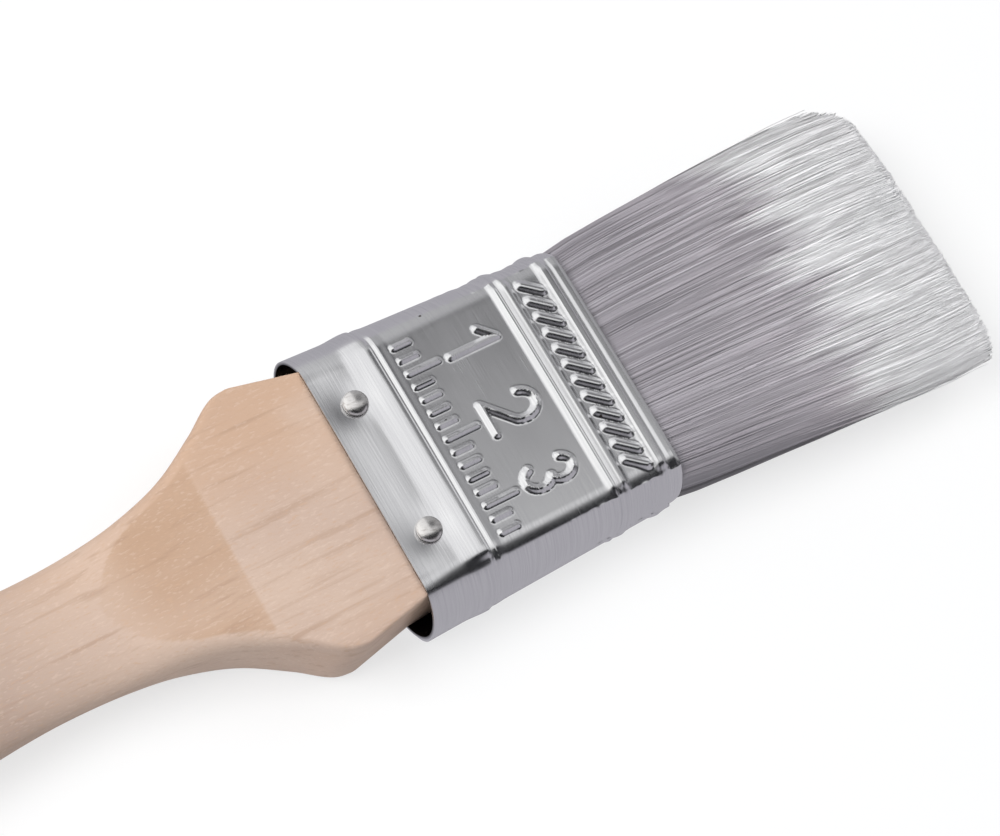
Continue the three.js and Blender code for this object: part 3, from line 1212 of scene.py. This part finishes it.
@dataclass
class Nails:
    """A pair of domed nails through one broad side of the ferrule."""

    side: Side
    nail_x: float = 4.3 * MM
    spacing: float = 19 * MM
    head_radius: float = 1.75 * MM
    head_height: float = 0.8 * MM
    shank_radius: float = 0.8 * MM
    length: float = 6.4 * MM
    seat: float = 0.15 * MM
    point_length: float = 1.4 * MM
    rim: float = 0.18 * MM

    def pattern(self) -> bpy.types.Object:
        """Return one nail, head up, with its seat at the origin.

        Returns:
            The turned nail.
        """
        shank = self.shank_radius
        profile = [(0.0, -self.length), (shank, self.point_length - self.length), (shank, -0.1 * MM)]
        base = self.seat * 0.2 + self.rim
        for i in range(5):
            a = -math.pi / 2 + math.pi / 2 * i / 4
            radius = self.head_radius - self.rim + self.rim * math.cos(a)
            profile.append((radius, base + self.rim * math.sin(a)))
        top = self.seat + self.head_height
        for i in range(1, 11):
            a = math.pi / 2 * i / 11
            profile.append((self.head_radius * math.cos(a), base + (top - base) * math.sin(a)))
        profile.append((0.0, top))
        return lathe(f"nails_{self.side.name.lower()}", profile, 40)

    def tree(self) -> bpy.types.NodeTree:
        """Return the tree that sets a nail at both ends of a line across the ferrule.

        Returns:
            The geometry node tree.
        """
        tree, build, source, sink = geometry_tree("nail_pair", {
            "Middle": ("NodeSocketVector", (0, 0, 0)),
            "Spacing": ("NodeSocketFloat", 0.019),
            "Turn": ("NodeSocketFloat", 0.0),
            "Material": ("NodeSocketMaterial", None),
        })
        half = build.math("MULTIPLY", source.outputs["Spacing"], 0.5)
        offset = build.node("ShaderNodeCombineXYZ", {"Y": half}).outputs[0]
        ends = {0: source.outputs["Middle"], 1: offset}
        first = build.node("ShaderNodeVectorMath", ends, operation="SUBTRACT")
        last = build.node("ShaderNodeVectorMath", ends, operation="ADD")
        line = build.node("GeometryNodeMeshLine", mode="END_POINTS")
        line.inputs["Count"].default_value = 2
        build.feed(line.inputs["Start Location"], first.outputs[0])
        build.feed(line.inputs["Offset"], last.outputs[0])
        turn = build.node("ShaderNodeCombineXYZ", {"X": source.outputs["Turn"]}).outputs[0]
        set_nails = build.node("GeometryNodeInstanceOnPoints", {
            "Points": line.outputs["Mesh"], "Instance": source.outputs["Geometry"], "Rotation": turn,
        })
        real = build.node("GeometryNodeRealizeInstances", {"Geometry": set_nails.outputs[0]})
        dressed = build.node("GeometryNodeSetMaterial", {
            "Geometry": real.outputs[0], "Material": source.outputs["Material"],
        })
        build.feed(sink.inputs["Geometry"], dressed.outputs[0])
        return tree

    def build(self, material: bpy.types.Material, ferrule: Ferrule) -> bpy.types.Object:
        """Return the pair of nails.

        Args:
            material: finish of the nails.
            ferrule: the ferrule that they pin.

        Returns:
            The finished piece.
        """
        t = self.nail_x / MM / ferrule.length()
        half = ferrule.open_half_thick + (ferrule.mouth_half_thick - ferrule.open_half_thick) * t
        sign = self.side.value
        middle = (OPEN_X + self.nail_x, 0.0, MID_Z + sign * half * MM)
        obj = self.pattern()
        turn = 0.0 if self.side is Side.FRONT else math.pi
        run_tree(obj, self.tree(), {
            "Middle": middle, "Spacing": self.spacing, "Turn": turn, "Material": material,
        })
        return obj


# ---------------------------------------------------------------- filaments


@dataclass
class FilamentPack:
    """One pack of tapered filaments, front or back of the spacer."""

    side: Side
    strands: int = 15600
    batches: int = 4
    root_radius: float = 0.085 * MM
    tip_radius: float = 0.045 * MM
    points_per_strand: int = 9
    exponent: float = 3.6
    clumps_across: float = 30.0
    clumps_deep: float = 3.0
    buried: float = 2 * MM
    # share of the free length, half width and half thickness in millimetres
    stations: list = field(default_factory=lambda: [
        (0.0, 18.1, 5.8), (0.08, 18.7, 6.2), (0.34, 19.9, 5.7), (0.63, 21.0, 4.4),
        (0.88, 21.4, 2.8), (1.0, 21.1, 1.8),
    ])

    def envelope(self, share: np.ndarray) -> list[np.ndarray]:
        """Return half width and half thickness in metres along the free length."""
        return [v * MM for v in through(self.stations, share)]

    def root_section(self, name: str) -> bpy.types.Object:
        """Return a flat face over the pack's section at the ferrule's mouth.

        Args:
            name: name of the piece.

        Returns:
            An object with one flat face.
        """
        width, thick = (float(v[0]) for v in self.envelope(np.array([0.0])))
        angle = np.linspace(0, math.pi, 48)
        y = width * bow(np.cos(angle), self.exponent)
        z = self.side.value * thick * np.abs(bow(np.sin(angle), self.exponent))
        points = np.stack([np.full_like(y, MOUTH_X - self.buried), y, MID_Z + z], -1)
        return mesh_object(name, points, [list(range(len(points)))])

    def tree(self) -> bpy.types.NodeTree:
        """Return the tree that grows, fans, clumps and tapers the filaments.

        Returns:
            The geometry node tree.
        """
        tree, build, source, sink = geometry_tree("filament_growth", {
            "Density": ("NodeSocketFloat", 1e7),
            "Seed": ("NodeSocketInt", 1),
            "Length": ("NodeSocketFloat", 0.055),
            "Middle": ("NodeSocketVector", (0, 0, 0)),
            "Root Half Width": ("NodeSocketFloat", 0.019),
            "Root Half Thick": ("NodeSocketFloat", 0.006),
            "Root Radius": ("NodeSocketFloat", 0.0001),
            "Tip Radius": ("NodeSocketFloat", 0.00004),
            "Material": ("NodeSocketMaterial", None),
        })
        put = source.outputs
        scatter = build.node("GeometryNodeDistributePointsOnFaces", distribute_method="RANDOM")
        build.feed(scatter.inputs["Mesh"], put["Geometry"])
        build.feed(scatter.inputs["Density"], put["Density"])
        build.feed(scatter.inputs["Seed"], put["Seed"])
        roots = store(build, scatter.outputs["Points"], "root",
                      build.node("GeometryNodeInputPosition").outputs[0], "FLOAT_VECTOR")
        for label, seed in (("chance", 11), ("kick", 29)):
            dice = build.node("FunctionNodeRandomValue", data_type="FLOAT_VECTOR")
            dice.inputs[0].default_value = (-1, -1, -1)
            dice.inputs[1].default_value = (1, 1, 1)
            build.feed(dice.inputs["Seed"], build.math("ADD", put["Seed"], seed))
            roots = store(build, roots, label, dice.outputs[0], "FLOAT_VECTOR")
        line = build.node("GeometryNodeCurvePrimitiveLine")
        line.inputs["End"].default_value = (1, 0, 0)
        fine = build.node("GeometryNodeResampleCurve", {"Curve": line.outputs[0]})
        fine.inputs["Count"].default_value = self.points_per_strand
        grown = build.node("GeometryNodeInstanceOnPoints", {"Points": roots, "Instance": fine.outputs[0]})
        strands = build.node("GeometryNodeRealizeInstances", {"Geometry": grown.outputs[0]}).outputs[0]

        t = build.node("GeometryNodeSplineParameter").outputs["Factor"]
        root = named(build, "root", "FLOAT_VECTOR")
        offset = build.node("ShaderNodeVectorMath", {0: root, 1: put["Middle"]}, operation="SUBTRACT")
        split = build.node("ShaderNodeSeparateXYZ", {0: offset.outputs[0]})
        u = build.math("DIVIDE", split.outputs[1], put["Root Half Width"])
        v = build.math("DIVIDE", split.outputs[2], put["Root Half Thick"])
        chance = build.node("ShaderNodeSeparateXYZ", {0: named(build, "chance", "FLOAT_VECTOR")})
        kick = build.node("ShaderNodeSeparateXYZ", {0: named(build, "kick", "FLOAT_VECTOR")})

        width = self.profile_node(build, t, 1)
        thick = self.profile_node(build, t, 2)
        t2 = build.math("MULTIPLY", t, t)
        cell_spot = build.node("ShaderNodeCombineXYZ", {
            "X": build.math("MULTIPLY", u, self.clumps_across),
            "Y": build.math("MULTIPLY", v, self.clumps_deep),
        }).outputs[0]
        cells = build.node("ShaderNodeTexVoronoi", {"Vector": cell_spot, "Scale": 1.0})
        cell = build.node("ShaderNodeSeparateXYZ", {0: cells.outputs["Position"]})
        cell_u = build.math("DIVIDE", cell.outputs[0], self.clumps_across)
        pull = build.math("MULTIPLY", t2, 0.12)
        u_pull = build.math("MULTIPLY", build.math("SUBTRACT", cell_u, u), pull)
        cell_dice = build.node("FunctionNodeSeparateColor", {"Color": cells.outputs["Color"]})
        cell_sway = build.math("SUBTRACT", cell_dice.outputs[0], 0.5)
        sway = build.math("MULTIPLY", build.math("MULTIPLY", cell_sway, t2), 0.03)
        stray = build.math("POWER", build.math("ABSOLUTE", chance.outputs[0]), 14.0)
        loose = build.math("MULTIPLY_ADD", stray, 0.05, 0.036)
        drift = build.math("MULTIPLY", build.math("MULTIPLY", kick.outputs[0], t2), loose)
        u_at = build.math("ADD", build.math("ADD", u, u_pull), build.math("ADD", sway, drift))
        drift_v = build.math("MULTIPLY", build.math("MULTIPLY", kick.outputs[1], t2), 0.1)
        skin = build.math("POWER", build.math("ABSOLUTE", v), 0.55)
        skin = build.math("MULTIPLY", skin, build.math("SIGN", v))
        v_at = build.math("ADD", skin, drift_v)
        lean = build.math("MULTIPLY", build.math("POWER", build.math("ABSOLUTE", u), 3.0), t2)
        v_at = build.math("MULTIPLY", v_at, build.math("MULTIPLY_ADD", lean, -0.85, 1.0))

        edge = build.math("POWER", build.math("ABSOLUTE", u), 11.0)
        outer = build.math("POWER", build.math("ABSOLUTE", v), 2.0)
        corner = build.math("MULTIPLY_ADD", u, -0.04, -0.075)
        trim = build.math("MULTIPLY_ADD", edge, corner, 1.0)
        trim = build.math("MULTIPLY_ADD", outer, -0.035, trim)
        tuft = build.math("SUBTRACT", cell_dice.outputs[1], 0.5)
        trim = build.math("MULTIPLY_ADD", tuft, 0.012, trim)
        uneven = build.math("POWER", build.math("ABSOLUTE", chance.outputs[2]), 2.0)
        trim = build.math("MULTIPLY_ADD", uneven, -0.045, trim)
        trim = build.math("MINIMUM", build.math("SUBTRACT", trim, 0.008), 1.0)
        x = build.math("MULTIPLY", build.math("MULTIPLY", trim, t), put["Length"])
        y = build.math("MULTIPLY", u_at, width)
        z = build.math("MULTIPLY", v_at, thick)
        spot = build.node("ShaderNodeCombineXYZ", {"X": x, "Y": y, "Z": z}).outputs[0]
        place = build.node("ShaderNodeVectorMath", {0: spot, 1: put["Middle"]}, operation="ADD").outputs[0]
        moved = build.node("GeometryNodeSetPosition", {"Geometry": strands, "Position": place}).outputs[0]
        moved = store(build, moved, "along", build.math("MULTIPLY", t, trim))
        moved = store(build, moved, "tone", chance.outputs[1])
        sideways = build.math("MULTIPLY", build.math("POWER", u, 5.0), 0.6)
        inward = build.math("MULTIPLY_ADD", build.math("POWER", build.math("ABSOLUTE", u), 6.0), -0.55, 1.0)
        lay = build.node("ShaderNodeCombineXYZ", {
            "X": 0.1, "Y": sideways, "Z": build.math("MULTIPLY", build.math("SIGN", v), inward),
        })
        moved = store(build, moved, "lay", lay.outputs[0], "FLOAT_VECTOR")
        taper = build.math("POWER", t, 1.4)
        radius = build.node("ShaderNodeMix", data_type="FLOAT")
        build.feed(radius.inputs[0], taper)
        build.feed(radius.inputs[2], put["Root Radius"])
        build.feed(radius.inputs[3], put["Tip Radius"])
        shaped = build.node("GeometryNodeSetCurveRadius", {"Curve": moved, "Radius": radius.outputs[0]})
        ring = build.node("GeometryNodeCurvePrimitiveCircle", mode="RADIUS")
        ring.inputs["Resolution"].default_value = 3
        ring.inputs["Radius"].default_value = 1.0
        solid = build.node("GeometryNodeCurveToMesh", {
            "Curve": shaped.outputs[0], "Profile Curve": ring.outputs[0], "Fill Caps": True,
        })
        if "Scale" in solid.inputs:
            build.feed(solid.inputs["Scale"], build.node("GeometryNodeInputRadius").outputs[0])
        smooth = build.node("GeometryNodeSetShadeSmooth", {"Geometry": solid.outputs[0]})
        real = build.node("GeometryNodeRealizeInstances", {"Geometry": smooth.outputs[0]})
        dressed = build.node("GeometryNodeSetMaterial", {
            "Geometry": real.outputs[0], "Material": put["Material"],
        })
        build.feed(sink.inputs["Geometry"], dressed.outputs[0])
        return tree

    def profile_node(self, build: TreeBuilder, t: Socket, column: int) -> Socket:
        """Return the envelope's half width (column 1) or half thickness (column 2) along a strand.

        Args:
            build: builder of the tree that the nodes go into.
            t: place along the strand, 0 to 1.
            column: column of the stations to read.

        Returns:
            The size in metres.
        """
        top = 25.0
        curve = build.node("ShaderNodeFloatCurve", {"Value": t})
        line = curve.mapping.curves[0]
        for row, spot in zip(self.stations, line.points):
            spot.location = (row[0], row[column] / top)
        for row in self.stations[len(line.points):]:
            line.points.new(row[0], row[column] / top)
        curve.mapping.update()
        return build.math("MULTIPLY", curve.outputs[0], top * MM)

    def strand_pieces(self, tree: bpy.types.NodeTree, material: bpy.types.Material) -> list:
        """Return the strands as a few pieces of moderate size.

        Args:
            tree: the growth tree.
            material: finish of the filaments.

        Returns:
            One object for each batch.
        """
        width, thick = (float(v[0]) for v in self.envelope(np.array([0.0])))
        area = 1.85 * width * thick
        made = []
        for batch in range(self.batches):
            name = f"filaments_{self.side.name.lower()}_{batch + 1}"
            obj = self.root_section(name)
            run_tree(obj, tree, {
                "Density": self.strands / self.batches / area,
                "Seed": 40 + 7 * batch + self.side.value,
                "Length": TIP_X - MOUTH_X + self.buried,
                "Middle": (MOUTH_X - self.buried, 0.0, MID_Z),
                "Root Half Width": width,
                "Root Half Thick": thick,
                "Root Radius": self.root_radius,
                "Tip Radius": self.tip_radius,
                "Material": material,
            })
            made.append(obj)
        return made

    def core(self, material: bpy.types.Material) -> bpy.types.Object:
        """Return the dense heart of the pack, which the outer strands hide.

        Args:
            material: finish of the filaments.

        Returns:
            The finished piece.
        """
        share = np.linspace(0.0, 0.88, 30)
        width, thick = self.envelope(share)
        slim = 0.95 - 0.1 * smoothstep(0.4, 0.7, share) - 0.6 * smoothstep(0.7, 0.88, share)
        angle = np.linspace(0, math.pi, 40)[None, :]
        y = (width * (0.5 * slim + 0.5 * 0.95))[:, None] * bow(np.cos(angle), self.exponent)
        z = (thick * slim)[:, None] * np.abs(bow(np.sin(angle), self.exponent))
        z = np.maximum(z, 0.05 * MM) * self.side.value
        start = MOUTH_X - self.buried
        x = (start + share * (TIP_X - start))[:, None] + 0 * angle
        points = np.stack([x, y + 0 * angle, MID_Z + z], -1)
        rows, columns = points.shape[:2]
        obj = capped_tube(f"filament_heart_{self.side.name.lower()}", points)
        set_attribute(obj, "along", np.repeat(share, columns))
        set_attribute(obj, "tone", np.full(rows * columns, -0.3))
        lay = obj.data.attributes.new("lay", "FLOAT_VECTOR", "POINT")
        lay.data.foreach_set("vector", np.tile([0.1, 0.0, float(self.side.value)], rows * columns))
        obj.data.materials.append(material)
        return obj


# ---------------------------------------------------------------- studio


@dataclass
class Studio:
    """Pale floor, soft lamps, a white surround and the camera."""

    azimuth: float = -60.4
    elevation: float = 64.85
    roll: float = 31.9
    distance: float = 0.354
    focal_length: float = 100.8
    pan_right: float = 17.3 * MM
    pan_up: float = 7.87 * MM
    panel_height: float = 7.6 * MM
    table_tone: tuple = (0.41, 0.4, 0.435, 1)

    def camera(self) -> None:
        """Place the camera."""
        a, e, r = (math.radians(v) for v in (self.azimuth, self.elevation, self.roll))
        back = Vector((math.sin(a) * math.cos(e), -math.cos(a) * math.cos(e), math.sin(e)))
        right = Vector((math.cos(a), math.sin(a), 0.0))
        up = back.cross(right)
        turned_right = right * math.cos(r) + up * math.sin(r)
        turned_up = -right * math.sin(r) + up * math.cos(r)
        pan = turned_right * self.pan_right + turned_up * self.pan_up
        aim = Vector((OPEN_X, 0.0, MID_Z + self.panel_height)) + pan
        data = bpy.data.cameras.new("camera")
        data.lens = self.focal_length
        data.sensor_width = 36.0
        data.clip_start = 0.01
        cam = bpy.data.objects.new("camera", data)
        bpy.context.scene.collection.objects.link(cam)
        turn = Matrix((turned_right, turned_up, back)).transposed()
        cam.matrix_world = Matrix.Translation(aim + back * self.distance) @ turn.to_4x4()
        bpy.context.scene.camera = cam

    def lamp(self, name: str, toward: tuple, distance: float, size: float, energy: float) -> bpy.types.Object:
        """Hang a square soft lamp that faces the brush.

        Args:
            name: name of the lamp.
            toward: direction from the brush to the lamp.
            distance: how far away it hangs.
            size: edge of the lamp.
            energy: power in watts.

        Returns:
            The lamp.
        """
        data = bpy.data.lights.new(name, "AREA")
        data.shape = "SQUARE"
        data.size = size
        data.energy = energy
        obj = bpy.data.objects.new(name, data)
        direction = Vector(toward).normalized()
        obj.location = direction * distance
        obj.rotation_mode = "QUATERNION"
        obj.rotation_quaternion = direction.to_track_quat("Z", "Y")
        bpy.context.scene.collection.objects.link(obj)
        return obj

    def floor(self) -> None:
        """Lay the pale floor."""
        half = 4.0
        corners = [(-half, -half, 0), (half, -half, 0), (half, half, 0), (-half, half, 0)]
        obj = mesh_object("floor", np.array(corners, float), [[0, 1, 2, 3]])
        material = bpy.data.materials.new("floor_white")
        material.use_nodes = True
        build = TreeBuilder(material.node_tree)
        shader = material.node_tree.nodes["Principled BSDF"]
        shader.inputs["Base Color"].default_value = (0.9, 0.9, 0.9, 1)
        shader.inputs["Roughness"].default_value = 0.9
        shader.inputs["Specular IOR Level"].default_value = 0.0
        white = build.node("ShaderNodeEmission")
        path = build.node("ShaderNodeLightPath")
        seen = build.math("MULTIPLY", path.outputs["Is Camera Ray"], 0.68)
        table = build.node("ShaderNodeEmission", {"Color": self.table_tone})
        diffuse = build.node("ShaderNodeMixShader", {0: seen, 1: shader.outputs[0], 2: white.outputs[0]})
        mixed = build.node("ShaderNodeMixShader", {
            0: path.outputs["Is Glossy Ray"], 1: diffuse.outputs[0], 2: table.outputs[0],
        })
        output = material.node_tree.nodes["Material Output"]
        build.feed(output.inputs["Surface"], mixed.outputs[0])
        obj.data.materials.append(material)

    def surround(self) -> None:
        """Set the white surround, with the dim side of the room that metal shows."""
        world = bpy.data.worlds.new("surround")
        bpy.context.scene.world = world
        world.use_nodes = True
        build = TreeBuilder(world.node_tree)
        soft = world.node_tree.nodes["Background"]
        soft.inputs["Color"].default_value = (0.93, 0.96, 1.0, 1)
        soft.inputs["Strength"].default_value = 0.36
        direction = build.node("ShaderNodeTexCoord").outputs["Generated"]
        parts = build.node("ShaderNodeSeparateXYZ", {0: direction})
        dx, dy, dz = parts.outputs
        room = build.mix_colour(build.ramp(dy, 0.28, 0.0), (0.085, 0.085, 0.09, 1), (0.66, 0.66, 0.67, 1))
        room = build.mix_colour(build.ramp(dy, 0.4, 0.62), room, (0.37, 0.37, 0.38, 1))
        room = build.mix_colour(build.ramp(dx, 0.35, 0.27), room, (0.84, 0.84, 0.85, 1))
        room = build.mix_colour(build.ramp(dx, -0.1, -0.3), room, (1.0, 1.0, 1.0, 1))
        room = build.mix_colour(build.ramp(dx, -0.85, -0.97), room, (0.4, 0.4, 0.41, 1))
        room = build.mix_colour(build.ramp(dx, 0.55, 0.8), room, (0.33, 0.33, 0.34, 1))
        room = build.mix_colour(build.ramp(dy, -0.1, -0.24), room, (0.015, 0.015, 0.017, 1))
        below = build.math("MULTIPLY", build.ramp(dz, 0.58, 0.5), build.ramp(dy, -0.3, -0.45))
        room = build.mix_colour(below, room, self.table_tone)
        mirror = build.node("ShaderNodeBackground", {"Color": room, "Strength": 1.0})
        white = build.node("ShaderNodeBackground", {"Color": (1, 1, 1, 1), "Strength": 1.0})
        path = build.node("ShaderNodeLightPath")
        shown = build.node("ShaderNodeMixShader", {
            0: path.outputs["Is Glossy Ray"], 1: soft.outputs[0], 2: mirror.outputs[0],
        })
        final = build.node("ShaderNodeMixShader", {
            0: path.outputs["Is Camera Ray"], 1: shown.outputs[0], 2: white.outputs[0],
        })
        build.feed(world.node_tree.nodes["World Output"].inputs["Surface"], final.outputs[0])

    def build(self) -> None:
        """Set up the whole studio."""
        bpy.context.scene.view_settings.view_transform = "Standard"
        self.camera()
        self.floor()
        self.surround()
        for lamp in (
            self.lamp("key", (-0.62, 0.22, 0.78), 1.0, 0.55, 8.0),
            self.lamp("fill", (0.5, 0.1, 0.8), 1.2, 0.9, 5.5),
        ):
            lamp.visible_glossy = False


# ---------------------------------------------------------------- assembly


def dress(obj: bpy.types.Object, material: bpy.types.Material) -> None:
    """Give an object one material."""
    obj.data.materials.clear()
    obj.data.materials.append(material)


def settle(obj: bpy.types.Object, slot: Slot, body: str, *nodes: str) -> None:
    """Ride a rigid piece on a body, hide the CAD nodes that it stands for, and report it.

    Args:
        obj: the piece.
        slot: not used.
        body: body that carries it.
        nodes: CAD nodes that it stands for.
    """
    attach(obj, body)
    if nodes:
        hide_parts(*nodes)
    LOG.info("%s: %d faces", obj.name, len(obj.data.polygons))


def build_filaments(material: bpy.types.Material) -> None:
    """Grow both packs.

    Args:
        material: finish of the filaments.
    """
    tree = None
    for side in Side:
        pack = FilamentPack(side)
        tree = tree or pack.tree()
        node = f"filament_pack_{side.name.lower()}"
        for obj in [pack.core(material), *pack.strand_pieces(tree, material)]:
            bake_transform(obj)
            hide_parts(node)
            LOG.info("%s: %d faces", obj.name, len(obj.data.polygons))


def main() -> None:
    """Build the brush piece by piece, then the studio."""
    logging.basicConfig(level=logging.INFO, format="%(name)s %(message)s")
    Studio().build()
    handle = Handle().build()
    dress(handle, WoodFinish().make("wood"))
    settle(handle, Slot.WOOD, "body", "handle")
    sheet = SheetFinish().make("sheet")
    ferrule = Ferrule()
    shell = ferrule.build()
    dress(shell, sheet)
    settle(shell, Slot.FERRULE, "body", "ferrule")
    seam = Seam(ferrule).build()
    dress(seam, sheet)
    settle(seam, Slot.FERRULE, "body")
    polished = NailFinish().make("nail")
    for side in Side:
        pair = Nails(side).build(polished, ferrule)
        word = side.name.lower()
        settle(pair, Slot.NAIL, "body", f"nail_{word}_left", f"nail_{word}_right")
    build_filaments(FilamentFinish().make("filament"))
    hidden = {"resin_plug": ResinFinish().make("resin"), "spacer_strip": WoodFinish().make("spacer")}
    for node, material in hidden.items():
        dress(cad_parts[node], material)


if __name__ == "__main__":
    main()
